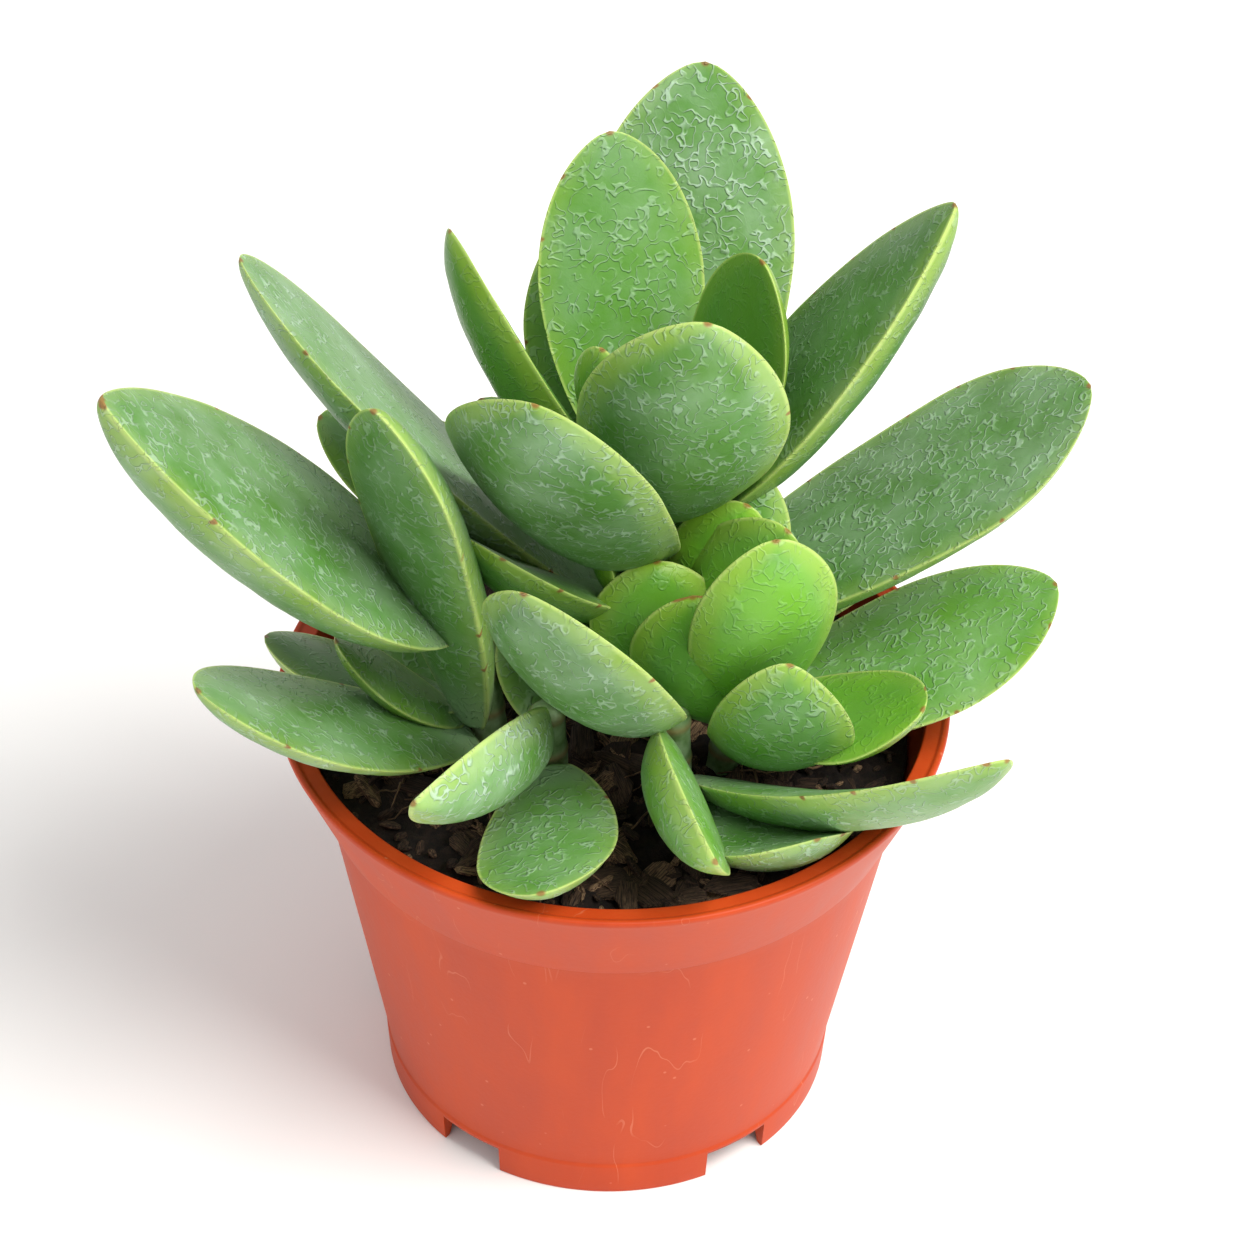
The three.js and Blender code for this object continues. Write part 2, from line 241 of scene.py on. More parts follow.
def new_tree(name):
    """A new material and its empty node tree."""
    material = bpy.data.materials.new(name)
    material.use_nodes = True
    material.node_tree.nodes.clear()
    return material, material.node_tree


def crassula_skin():
    """Succulent leaf skin: a smooth waxy cuticle, grown with short wandering wrinkles whose crests
    carry pale bloom. It gives a soft sheen, chalky strokes and a light glow at the thin margin, which is
    partly painted: a yellow-green margin band, made stronger on the lower face as painted glow of light
    through the thin edge."""
    material, tree = new_tree("crassula_skin")
    place = add(tree, "ShaderNodeTexCoord").outputs["Object"]
    youth = add(tree, "ShaderNodeAttribute", {"attribute_name": "youth"}).outputs["Fac"]
    bloom = add(tree, "ShaderNodeAttribute", {"attribute_name": "bloom"}).outputs["Fac"]
    edge = add(tree, "ShaderNodeAttribute", {"attribute_name": "edge_mm"}).outputs["Fac"]
    along = add(tree, "ShaderNodeAttribute", {"attribute_name": "along"}).outputs["Fac"]
    run = add(tree, "ShaderNodeAttribute", {"attribute_name": "run_mm"}).outputs["Fac"]
    under = add(tree, "ShaderNodeAttribute", {"attribute_name": "under"}).outputs["Fac"]
    from_tip = add(tree, "ShaderNodeAttribute", {"attribute_name": "tip_mm"}).outputs["Fac"]

    # Flesh: old leaves dark, new leaves bright, with clouds about 12 mm across
    old_young = add(tree, "ShaderNodeMix",
            {"data_type": "RGBA", 6: linear("#224E1A"), 7: linear("#79BC2C")},
            {0: youth})
    clouds = add(tree, "ShaderNodeTexNoise",
            {"Scale": 1 / 0.012, "Detail": 3.0, "Roughness": 0.55},
            {"Vector": place})
    cloud_tone = add(tree, "ShaderNodeMapRange", {1: 0.38, 2: 0.66, 3: 0.0, 4: 0.55}, {0: clouds})
    flesh = add(tree, "ShaderNodeMix",
            {"data_type": "RGBA", 7: linear("#568E3A")},
            {0: cloud_tone, 6: old_young.outputs[2]})

    # A yellow-green band about 4 mm wide inside the margin: a pale margin tone, made stronger on the lower
    # face as painted glow of light shining through the thin margin
    band = add(tree, "ShaderNodeMapRange",
            {"interpolation_type": "SMOOTHSTEP", 1: 4.2, 2: 0.3, 3: 0.0, 4: 1.0},
            {0: edge})
    # Lower face gets the larger share: painted glow of light through the thin margin, on top of the margin's
    # own tone
    tint_and_glow_strength = add(tree, "ShaderNodeMapRange", {1: 0.0, 2: 1.0, 3: 0.22, 4: 0.55}, {0: under})
    tint_and_glow_share = add(tree, "ShaderNodeMath", {"operation": "MULTIPLY"}, {0: band, 1: tint_and_glow_strength})
    banded = add(tree, "ShaderNodeMix",
            {"data_type": "RGBA", 7: linear("#9FBE3E")},
            {0: tint_and_glow_share, 6: flesh.outputs[2]})

    # Wrinkles: fine wandering ridges about 1 mm apart, broken into strokes and gathered in patches
    field = add(tree, "ShaderNodeTexNoise",
            {"Scale": 1 / 0.0016, "Detail": 0.0, "Distortion": 0.5},
            {"Vector": place})
    from_level = add(tree, "ShaderNodeMath", {"operation": "SUBTRACT", 1: 0.5}, {0: field})
    off_line = add(tree, "ShaderNodeMath", {"operation": "ABSOLUTE"}, {0: from_level})
    crest = add(tree, "ShaderNodeMapRange",
            {"interpolation_type": "SMOOTHSTEP", 1: 0.075, 2: 0.020, 3: 0.0, 4: 1.0},
            {0: off_line})
    patch_noise = add(tree, "ShaderNodeTexNoise",
            {"Scale": 1 / 0.0034, "Detail": 1.5, "Roughness": 0.7},
            {"Vector": place})
    patch = add(tree, "ShaderNodeMapRange", {1: 0.40, 2: 0.54, 3: 0.05, 4: 1.0}, {0: patch_noise})
    wrinkle = add(tree, "ShaderNodeMath", {"operation": "MULTIPLY"}, {0: crest, 1: patch})

    # Bloom: pale on the wrinkle crests, a thin haze between them, and thick at the heel
    haze_noise = add(tree, "ShaderNodeTexNoise",
            {"Scale": 1 / 0.010, "Detail": 4.0, "Roughness": 0.6},
            {"Vector": place})
    haze = add(tree, "ShaderNodeMapRange", {1: 0.36, 2: 0.68, 3: 0.10, 4: 0.60}, {0: haze_noise})
    line_share = add(tree, "ShaderNodeMath",
            {"operation": "MULTIPLY_ADD", 1: 0.66},
            {0: wrinkle, 2: haze})
    bloomed = add(tree, "ShaderNodeMath",
            {"operation": "MULTIPLY", "use_clamp": True},
            {0: line_share, 1: bloom})
    heel = add(tree, "ShaderNodeMapRange",
            {"interpolation_type": "SMOOTHSTEP", 1: 0.28, 2: 0.02, 3: 0.0, 4: 0.45},
            {0: along})
    wax_share = add(tree, "ShaderNodeMath", {"operation": "MAXIMUM"}, {0: bloomed, 1: heel})
    waxed = add(tree, "ShaderNodeMix",
            {"data_type": "RGBA", 7: linear("#B3CDB4")},
            {0: wax_share, 6: banded.outputs[2]})

    # Margin: a fine pale ridge line, with a few rust-red dots and a red point at the tip
    rim = add(tree, "ShaderNodeMapRange",
            {"interpolation_type": "SMOOTHSTEP", 1: 0.50, 2: 0.12, 3: 0.0, 4: 0.6},
            {0: edge})
    rimmed = add(tree, "ShaderNodeMix",
            {"data_type": "RGBA", 7: linear("#BFD27A")},
            {0: rim, 6: waxed.outputs[2]})
    beat = add(tree, "ShaderNodeMath", {"operation": "PINGPONG", 1: 4.6}, {0: run})
    beat_edge = add(tree, "ShaderNodeCombineXYZ", None, {0: beat, 1: edge})
    beat_length = add(tree, "ShaderNodeVectorMath", {"operation": "LENGTH"}, {0: beat_edge}).outputs["Value"]
    dot = add(tree, "ShaderNodeMapRange",
            {"interpolation_type": "SMOOTHSTEP", 1: 0.62, 2: 0.25, 3: 0.0, 4: 0.8},
            {0: beat_length})
    dot_pick = add(tree, "ShaderNodeTexNoise", {"Scale": 1 / 0.011, "Detail": 0.0}, {"Vector": place})
    dot_some = add(tree, "ShaderNodeMapRange", {1: 0.54, 2: 0.58, 3: 0.0, 4: 1.0}, {0: dot_pick})
    dots = add(tree, "ShaderNodeMath", {"operation": "MULTIPLY"}, {0: dot, 1: dot_some})
    tip = add(tree, "ShaderNodeMapRange",
            {"interpolation_type": "SMOOTHSTEP", 1: 1.0, 2: 0.4, 3: 0.0, 4: 0.75},
            {0: from_tip})
    red_share = add(tree, "ShaderNodeMath", {"operation": "MAXIMUM"}, {0: dots, 1: tip})
    skin = add(tree, "ShaderNodeMix",
            {"data_type": "RGBA", 7: linear("#8A4A2C")},
            {0: red_share, 6: rimmed.outputs[2]})

    rough = add(tree, "ShaderNodeMapRange", {1: 0.0, 2: 1.0, 3: 0.34, 4: 0.62}, {0: wax_share})
    fine = add(tree, "ShaderNodeTexNoise", {"Scale": 1 / 0.0006, "Detail": 2.0}, {"Vector": place})
    fine_height = add(tree, "ShaderNodeMath", {"operation": "MULTIPLY", 1: 0.12}, {0: fine})
    relief_share = add(tree, "ShaderNodeMapRange", {1: 0.0, 2: 0.6, 3: 0.2, 4: 1.0}, {0: bloom})
    relief = add(tree, "ShaderNodeMath",
            {"operation": "MULTIPLY_ADD"},
            {0: wrinkle, 1: relief_share, 2: fine_height})
    bump = add(tree, "ShaderNodeBump", {"Strength": 0.8, "Distance": 0.0003}, {"Height": relief})
    shader = add(tree, "ShaderNodeBsdfPrincipled", {
        "IOR": 1.42, "Specular IOR Level": 0.36, "Subsurface Weight": 0.12, "Subsurface Scale": 0.0016,
        "Subsurface Radius": (0.55, 1.0, 0.22)},
        {"Base Color": skin.outputs[2], "Roughness": rough, "Normal": bump})
    add(tree, "ShaderNodeOutputMaterial", None, {"Surface": shader})
    return material


def stem_rind():
    """Fleshy stem rind: smooth green skin with bloom and tan rings where old leaves fell."""
    material, tree = new_tree("stem_rind")
    place = add(tree, "ShaderNodeTexCoord").outputs["Object"]
    scar = add(tree, "ShaderNodeAttribute", {"attribute_name": "scar"}).outputs["Fac"]
    patches = add(tree, "ShaderNodeTexNoise", {"Scale": 1 / 0.004, "Detail": 4.0}, {"Vector": place})
    tone = add(tree, "ShaderNodeMapRange", {1: 0.35, 2: 0.65, 3: 0.0, 4: 1.0}, {0: patches})
    green = add(tree, "ShaderNodeMix",
            {"data_type": "RGBA", 6: linear("#4E6F30"), 7: linear("#93AF84")},
            {0: tone})
    ringed = add(tree, "ShaderNodeMix",
            {"data_type": "RGBA", 7: linear("#8A7048")},
            {0: scar, 6: green.outputs[2]})
    bump = add(tree, "ShaderNodeBump", {"Strength": 0.5, "Distance": 0.0003}, {"Height": patches})
    shader = add(tree, "ShaderNodeBsdfPrincipled", {
        "Roughness": 0.55, "Subsurface Weight": 0.08, "Subsurface Scale": 0.0012,
        "Subsurface Radius": (0.5, 1.0, 0.2)}, {"Base Color": ringed.outputs[2], "Normal": bump})
    add(tree, "ShaderNodeOutputMaterial", None, {"Surface": shader})
    return material


def pot_polypropylene():
    """Injection-moulded terracotta polypropylene: thin satin plastic that glows a little, with
    faint flow marks from the mould, pale handling scratches and specks of dust."""
    material, tree = new_tree("moulded_polypropylene")
    place = add(tree, "ShaderNodeTexCoord").outputs["Object"]
    flow_map = add(tree, "ShaderNodeMapping", {"Scale": (1.0, 1.0, 0.25)}, {"Vector": place})
    flow = add(tree, "ShaderNodeTexNoise",
            {"Scale": 1 / 0.010, "Detail": 4.0, "Roughness": 0.6},
            {"Vector": flow_map})
    flow_tone = add(tree, "ShaderNodeMapRange", {1: 0.3, 2: 0.7, 3: 0.0, 4: 1.0}, {0: flow})
    base = add(tree, "ShaderNodeMix",
            {"data_type": "RGBA", 6: linear("#B23B12"), 7: linear("#C04517")},
            {0: flow_tone})

    # Scratches: thin level lines of a long stretched field, kept in a few patches
    scratch_map = add(tree, "ShaderNodeMapping",
            {"Scale": (1.0, 1.0, 0.22), "Rotation": (0.35, 0.2, 0.0)},
            {"Vector": place})
    scratch_field = add(tree, "ShaderNodeTexNoise",
            {"Scale": 1 / 0.006, "Detail": 1.5},
            {"Vector": scratch_map})
    scratch_line = add(tree, "ShaderNodeMath",
            {"operation": "COMPARE", 1: 0.5, 2: 0.0035},
            {0: scratch_field})
    scratch_patch = add(tree, "ShaderNodeTexNoise",
            {"Scale": 1 / 0.012, "Detail": 1.0},
            {"Vector": place})
    scratch_where = add(tree, "ShaderNodeMapRange",
            {1: 0.54, 2: 0.66, 3: 0.0, 4: 0.5},
            {0: scratch_patch})
    scratches = add(tree, "ShaderNodeMath",
            {"operation": "MULTIPLY"},
            {0: scratch_line, 1: scratch_where})
    specks_cell = add(tree, "ShaderNodeTexVoronoi",
            {"Scale": 1 / 0.0045, "Randomness": 1.0},
            {"Vector": place})
    specks = add(tree, "ShaderNodeMapRange",
            {1: 0.075, 2: 0.045, 3: 0.0, 4: 0.55},
            {0: specks_cell.outputs["Distance"]})
    marks = add(tree, "ShaderNodeMath", {"operation": "MAXIMUM"}, {0: scratches, 1: specks})
    marked = add(tree, "ShaderNodeMix",
            {"data_type": "RGBA", 7: linear("#CF7C5C")},
            {0: marks, 6: base.outputs[2]})
    rough = add(tree, "ShaderNodeMapRange", {1: 0.25, 2: 0.75, 3: 0.40, 4: 0.52}, {0: flow})
    grain = add(tree, "ShaderNodeTexNoise", {"Scale": 1 / 0.0009, "Detail": 3.0}, {"Vector": place})
    bump = add(tree, "ShaderNodeBump", {"Strength": 0.22, "Distance": 0.00012}, {"Height": grain})
    shader = add(tree, "ShaderNodeBsdfPrincipled", {
        "IOR": 1.49, "Specular IOR Level": 0.28, "Subsurface Weight": 0.10, "Subsurface Scale": 0.0015,
        "Subsurface Radius": (1.0, 0.35, 0.15)},
        {"Base Color": marked.outputs[2], "Roughness": rough, "Normal": bump})
    add(tree, "ShaderNodeOutputMaterial", None, {"Surface": shader})
    return material


def damp_peat():
    """Damp peat between the bark: near-black crumbs with no shine."""
    material, tree = new_tree("damp_peat")
    place = add(tree, "ShaderNodeTexCoord").outputs["Object"]
    crumbs = add(tree, "ShaderNodeTexNoise",
            {"Scale": 1 / 0.0018, "Detail": 6.0, "Roughness": 0.7},
            {"Vector": place})
    tone = add(tree, "ShaderNodeMapRange", {1: 0.35, 2: 0.72, 3: 0.0, 4: 1.0}, {0: crumbs})
    colour = add(tree, "ShaderNodeMix",
            {"data_type": "RGBA", 6: linear("#0A0706"), 7: linear("#33241A")},
            {0: tone})
    bump = add(tree, "ShaderNodeBump", {"Strength": 0.9, "Distance": 0.0008}, {"Height": crumbs})
    shader = add(tree, "ShaderNodeBsdfPrincipled",
            {"Roughness": 0.92},
            {"Base Color": colour.outputs[2], "Normal": bump})
    add(tree, "ShaderNodeOutputMaterial", None, {"Surface": shader})
    return material


def torn_bark():
    """Composted bark, chipped and torn along its fibres: dark brown to straw, streaked lengthwise."""
    material, tree = new_tree("torn_bark")
    tan = add(tree, "ShaderNodeAttribute", {"attribute_name": "tan"}).outputs["Fac"]
    grain_along = add(tree, "ShaderNodeAttribute", {"attribute_name": "grain"}).outputs["Vector"]
    streaks = add(tree, "ShaderNodeTexNoise",
            {"Scale": 2.6, "Detail": 4.0, "Roughness": 0.65},
            {"Vector": grain_along})
    tone = add(tree, "ShaderNodeMapRange", {1: 0.42, 2: 0.62, 3: 0.0, 4: 1.0}, {0: streaks})
    dark = add(tree, "ShaderNodeMix",
            {"data_type": "RGBA", 6: linear("#120C09"), 7: linear("#4A3527")},
            {0: tone})
    straw = add(tree, "ShaderNodeMix",
            {"data_type": "RGBA", 6: linear("#4A3323"), 7: linear("#C4A17A")},
            {0: tone})
    colour = add(tree, "ShaderNodeMix",
            {"data_type": "RGBA"},
            {0: tan, 6: dark.outputs[2], 7: straw.outputs[2]})
    bump = add(tree, "ShaderNodeBump", {"Strength": 0.8, "Distance": 0.0004}, {"Height": streaks})
    shader = add(tree, "ShaderNodeBsdfPrincipled",
            {"Roughness": 0.85},
            {"Base Color": colour.outputs[2], "Normal": bump})
    add(tree, "ShaderNodeOutputMaterial", None, {"Surface": shader})
    return material


def studio_paper():
    """Plain matt white backdrop paper."""
    material, tree = new_tree("studio_paper")
    shader = add(tree, "ShaderNodeBsdfPrincipled", {"Base Color": linear("#F9F9F8"), "Roughness": 0.9})
    add(tree, "ShaderNodeOutputMaterial", None, {"Surface": shader})
    return material


def make_piece(name, places, faces, material, attributes=None, smooth=True):
    """A mesh object from places in mm and its faces, with float or vector values at its points."""
    mesh = bpy.data.meshes.new(name)
    mesh.from_pydata((np.asarray(places) * MM).tolist(), [], faces)
    for key, values in (attributes or {}).items():
        flat = np.asarray(values, dtype=np.float32)
        kind = "FLOAT" if flat.ndim == 1 else "FLOAT_VECTOR"
        field = "value" if flat.ndim == 1 else "vector"
        mesh.attributes.new(key, kind, "POINT").data.foreach_set(field, flat.ravel())
    mesh.polygons.foreach_set("use_smooth", [smooth] * len(mesh.polygons))
    mesh.materials.append(material)
    mesh.update()
    piece = bpy.data.objects.new(name, mesh)
    bpy.context.scene.collection.objects.link(piece)
    return piece


def shoot_point(key, height):
    """The point of a shoot's axis at a height, in mm."""
    foot, head, _ = SHOOTS[key]
    share = (height - AXIS_FOOT) / (head[2] - AXIS_FOOT)
    x = foot[0] + (head[0] - foot[0]) * share
    y = foot[1] + (head[1] - foot[1]) * share
    return np.array([x, y, height])


def width_at(s, widest, point):
    """Half width along a blade, as a share of its greatest."""
    if s < widest:
        return HEEL_WIDTH + (1 - HEEL_WIDTH) * math.sin(math.pi / 2 * (s / widest) ** SWELL_POWER)
    return (1 - ((s - widest) / (1 - widest)) ** 2) ** point


def depth_at(s):
    """Keel depth along a blade, as a share of its greatest."""
    if s < DEEPEST_AT:
        return HEEL_DEPTH + (1 - HEEL_DEPTH) * math.sin(math.pi / 2 * (s / DEEPEST_AT) ** SWELL_POWER)
    return (1 - ((s - DEEPEST_AT) / (1 - DEEPEST_AT)) ** 2) ** DEPTH_POWER


def ripple(place, size, seed):
    """A soft random height between -1 and 1, with bumps about size mm across."""
    return noise.noise(Vector((place[0] / size + seed, place[1] / size, place[2] / size)))


def make_leaf(row, skin):
    """A lens-shaped blade of its form, with soft bumps and a thin raised margin."""
    name, form, height, azimuth, rise, length, width, turn = row
    keel_share, crown, arch, sway, widest, point = FORMS[form]
    keel = width * keel_share
    a = math.radians(azimuth)
    e = math.radians(rise)
    up = np.array([0.0, 0.0, 1.0])
    out = np.array([math.cos(a), math.sin(a), 0.0])
    base = shoot_point(name[0], height) + out * SEAT
    along = out * math.cos(e) + up * math.sin(e)
    face = up - along * along[2]
    face /= np.linalg.norm(face)
    side = np.cross(along, face)
    upper = face * math.cos(math.radians(turn)) + side * math.sin(math.radians(turn))
    across = np.cross(along, upper)
    rings = max(LEAST_RINGS, round(length / LEAF_STEP))
    half_around = 2 * max(LEAST_SIDES, round(width / LEAF_STEP / SIDE_STEP))
    seed = sum(ord(letter) for letter in name) * 1.37
    places = []
    values = {"along": [], "edge_mm": [], "run_mm": [], "under": []}

    def push(place, s, edge, run, under):
        places.append(place)
        values["along"].append(s)
        values["edge_mm"].append(edge)
        values["run_mm"].append(run)
        values["under"].append(under)

    for i in range(rings):
        even = i / rings
        s = 0.55 * (0.5 - 0.5 * math.cos(math.pi * even)) + 0.45 * even
        waver = 1 + WAVER_SHARE * ripple(base + along * length * s, WAVER_SIZE, seed)
        half = width / 2 * width_at(s, widest, point) * waver
        deep = depth_at(s)
        bow = 4 * s * (1 - s)
        centre = base + along * length * s - upper * arch * bow + across * sway * bow
        for j in range(2 * half_around):
            turn_round = math.pi * j / half_around
            t = -math.cos(turn_round)
            on_top = j <= half_around
            round_off = 1 - t * t
            high = crown * deep * round_off if on_top else -keel * deep * round_off ** KEEL_POWER
            edge = half * (1 - abs(t))
            bead = MARGIN_BEAD * math.exp(-(edge / MARGIN_WIDTH) ** 2) * (1 if t > 0 else -1)
            place = centre + across * (half * t + bead) + upper * high
            swelling = ripple(place, SWELLING_SIZE, seed) * SWELLING_RISE
            lump = swelling + ripple(place, DIMPLE_SIZE, seed + 5) * DIMPLE_RISE
            place = place + upper * lump * round_off ** 0.5 * (1 if on_top else -1)
            margin = j in (0, half_around)
            push(place, s, edge, length * s, 0.5 if margin else (0.0 if on_top else 1.0))
    push(base - upper * keel * 0.2, 0.0, width * 0.1, 0.0, 1.0)
    push(base + along * length, 1.0, 0.0, length, 0.5)
    around = 2 * half_around
    heel = rings * around
    tip = heel + 1
    faces = []
    for j in range(around):
        after = (j + 1) % around
        faces.append((heel, after, j))
        for i in range(rings - 1):
            low = i * around
            faces.append((low + j, low + after, low + around + after, low + around + j))
        last = (rings - 1) * around
        faces.append((last + j, last + after, tip))
    youth, bloom = SKIN[name]
    values["tip_mm"] = np.linalg.norm(np.array(places) - places[-1], axis=1)
    values["youth"] = [youth] * len(places)
    values["bloom"] = [bloom] * len(places)
    piece = make_piece(f"blade_{name}", places, faces, skin, values)
    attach(piece, "root")
    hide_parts(f"leaf_{name}")


def make_stem(key, rind):
    """A tapered post with swollen rings where leaves were and a rounded head."""
    _, head, radius = SHOOTS[key]
    top = head[2]
    steps = 60
    sides = 28
    start = shoot_point(key, STEM_FOOT)
    end = shoot_point(key, top)
    lean = (end - start) / np.linalg.norm(end - start)
    right = np.cross(lean, [0.0, 1.0, 0.0])
    right /= np.linalg.norm(right)
    front = np.cross(lean, right)
    length = np.linalg.norm(end - start)
    places = []
    scars = []
    for i in range(steps + 1):
        s = i / steps
        here = start + lean * length * s
        ring = math.exp(-((length * s % RING_SPACING - RING_SPACING / 2) / RING_WIDTH) ** 2)
        swell = radius * (1 - STEM_TAPER * s) + RING_RISE * ring
        if s > HEAD_START:
            swell *= math.sqrt(max(0.0, 1 - ((s - HEAD_START) / HEAD_LENGTH) ** 2))
        for j in range(sides):
            turn_round = 2 * math.pi * j / sides
            arm = right * math.cos(turn_round) + front * math.sin(turn_round)
            wobble = 1 + WOBBLE_SHARE * ripple(here + arm * radius, WOBBLE_SIZE, 11.0)
            places.append(here + arm * swell * wobble)
            scars.append(SCAR_TINT * ring)
    faces = []
    for i in range(steps):
        for j in range(sides):
            after = (j + 1) % sides
            low = i * sides
            faces.append((low + j, low + after, low + sides + after, low + sides + j))
    faces.append(tuple(reversed(range(sides))))
    faces.append(tuple(range(steps * sides, (steps + 1) * sides)))
    piece = make_piece(f"shoot_{key}", places, faces, rind, {"scar": scars})
    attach(piece, "root")
    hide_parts(f"stem_{key}")


def rounded(profile, radius, steps=4):
    """The profile with each inner corner replaced by a short curve, at most radius mm from it."""
    points = [profile[0]]
    for before, corner, after in zip(profile, profile[1:], profile[2:]):
        before, corner, after = (np.array(p, dtype=float) for p in (before, corner, after))
        back = np.linalg.norm(before - corner)
        ahead = np.linalg.norm(after - corner)
        reach = min(radius, back * 0.45, ahead * 0.45)
        first = corner + (before - corner) / back * reach
        last = corner + (after - corner) / ahead * reach
        for step in range(steps + 1):
            t = step / steps
            points.append(tuple((1 - t) ** 2 * first + 2 * t * (1 - t) * corner + t * t * last))
    points.append(profile[-1])
    return points


def stretched(profile, step):
    """The profile with points added so that none lie more than step mm apart."""
    points = [profile[0]]
    for first, last in zip(profile, profile[1:]):
        first, last = np.array(first, dtype=float), np.array(last, dtype=float)
        count = max(1, math.ceil(np.linalg.norm(last - first) / step))
        for i in range(1, count + 1):
            points.append(tuple(first + (last - first) * i / count))
    return points


def turned(profile, sides):
    """Places and faces of a profile turned about the pot's axis; its ends lie on the axis."""
    places = []
    faces = []
    inner = profile[1:-1]
    for radius, height in inner:
        for j in range(sides):
            angle = 2 * math.pi * j / sides
            places.append((radius * math.cos(angle), radius * math.sin(angle), height))
    for i in range(len(inner) - 1):
        for j in range(sides):
            after = (j + 1) % sides
            low = i * sides
            faces.append((low + j, low + after, low + sides + after, low + sides + j))
    places.append((0, 0, profile[0][1]))
    places.append((0, 0, profile[-1][1]))
    bottom = len(places) - 2
    last = (len(inner) - 1) * sides
    for j in range(sides):
        after = (j + 1) % sides
        faces.append((bottom, after, j))
        faces.append((bottom + 1, last + j, last + after))
    return places, faces


def make_pot(plastic):
    """The nursery pot: a turned wall with a beaded lip and a band, and notches between its feet."""
    inner_lip = LIP_RADIUS - BEAD_WIDTH
    ledge = inner_lip - LEDGE_WIDTH
    ledge_height = POT_HEIGHT - BEAD_RISE
    inner_foot = FOOT_TOP_RADIUS - WALL
    profile = [
        (0, FLOOR_HEIGHT - FLOOR_THICKNESS),
        (FOOT_RADIUS - 2 * WALL, FLOOR_HEIGHT - FLOOR_THICKNESS),
        (FOOT_RADIUS - WALL, 0),
        (FOOT_RADIUS, 0),
        (FOOT_TOP_RADIUS, FOOT_HEIGHT),
        (FOOT_TOP_RADIUS - 0.25, FOOT_HEIGHT + 0.5),
        (BAND_RADIUS - BAND_STEP, BAND_BOTTOM),
        (BAND_RADIUS, BAND_BOTTOM + 0.2),
        (LIP_RADIUS - 0.35, POT_HEIGHT - 1.6),
        (LIP_RADIUS, POT_HEIGHT - 0.8),
        (LIP_RADIUS - 0.1, POT_HEIGHT - 0.1),
        (LIP_RADIUS - 0.8, POT_HEIGHT),
        (inner_lip, ledge_height),
        (ledge, ledge_height - 0.1),
        (BAND_RADIUS - WALL, BAND_BOTTOM),
        (inner_foot, FLOOR_HEIGHT + FLOOR_EASE),
        (inner_foot - FLOOR_EASE, FLOOR_HEIGHT),
        (0, FLOOR_HEIGHT),
    ]
    places, faces = turned(stretched(rounded(profile, CORNER_ROUND), PROFILE_STEP), POT_SIDES)
    piece = make_piece("nursery_pot", places, faces, plastic)
    for foot in range(FOOT_COUNT):
        angle = math.radians(FRONT_FOOT_ANGLE + (foot + 0.5) * 360 / FOOT_COUNT)
        cut_notch(piece, angle)
    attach(piece, "root")
    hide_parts("pot")


def cut_notch(piece, angle):
    """Cuts the gap between two feet: a box across the wall at an angle about the pot's axis."""
    corners = []
    for x in (-NOTCH_REACH / 2, NOTCH_REACH / 2):
        for y in (-NOTCH_WIDTH / 2, NOTCH_WIDTH / 2):
            for z in (-NOTCH_HEIGHT, NOTCH_HEIGHT):
                out = FOOT_RADIUS + x
                corners.append((
                    out * math.cos(angle) - y * math.sin(angle),
                    out * math.sin(angle) + y * math.cos(angle), z))
    sides = [(0, 1, 3, 2), (4, 6, 7, 5), (0, 4, 5, 1), (2, 3, 7, 6), (0, 2, 6, 4), (1, 5, 7, 3)]
    tool = make_piece("notch_tool", corners, sides, piece.data.materials[0], smooth=False)
    cut = piece.modifiers.new("notch", "BOOLEAN")
    cut.operation = "DIFFERENCE"
    cut.solver = "EXACT"
    cut.object = tool
    settle(piece)
    bpy.data.objects.remove(tool)


def settle(piece):
    """Turns a piece's modifiers into its own mesh."""
    depsgraph = bpy.context.evaluated_depsgraph_get()
    mesh = bpy.data.meshes.new_from_object(piece.evaluated_get(depsgraph))
    piece.modifiers.clear()
    piece.data = mesh


def chips(x, y):
    """Rise of the coarse chips at a place on the soil, in mm."""
    bent_x = x * 0.83 + 1.7 * math.sin(y * 0.31)
    bent_y = y * 0.71 + 0.6 * math.cos(x * 0.47)
    coarse = math.sin(bent_x) * math.sin(bent_y)
    fine = math.sin(x * 1.9 - y * 1.3) * math.cos(y * 2.1 + x * 0.7)
    return CHIP_RISE * (0.65 * coarse + 0.35 * fine)


def soil_edge():
    """Radius of the soil's top edge, in mm."""
    inner_band = BAND_RADIUS - WALL - SOIL_GAP
    inner_ledge = LIP_RADIUS - BEAD_WIDTH - LEDGE_WIDTH - SOIL_GAP
    rise = (SOIL_TOP - BAND_BOTTOM) / (POT_HEIGHT - BEAD_RISE - BAND_BOTTOM)
    return inner_band + (inner_ledge - inner_band) * rise - EDGE_GAP


def soil_height(x, y):
    """Height of the soil's top at x, y from the pot's axis, in mm."""
    edge = soil_edge()
    inward = 1 - math.hypot(x, y) / edge
    share = min(max(inward * EDGE_SLOPE, 0), 1)
    coarse = 0.9 * noise.noise(Vector((x / 3.1, y / 3.1, 4.0)))
    fine = 0.5 * noise.noise(Vector((x / 1.3, y / 1.3, 9.0)))
    lumps = coarse + fine
    return SOIL_TOP + share * (chips(x, y) + MOUND_RISE * inward + lumps)


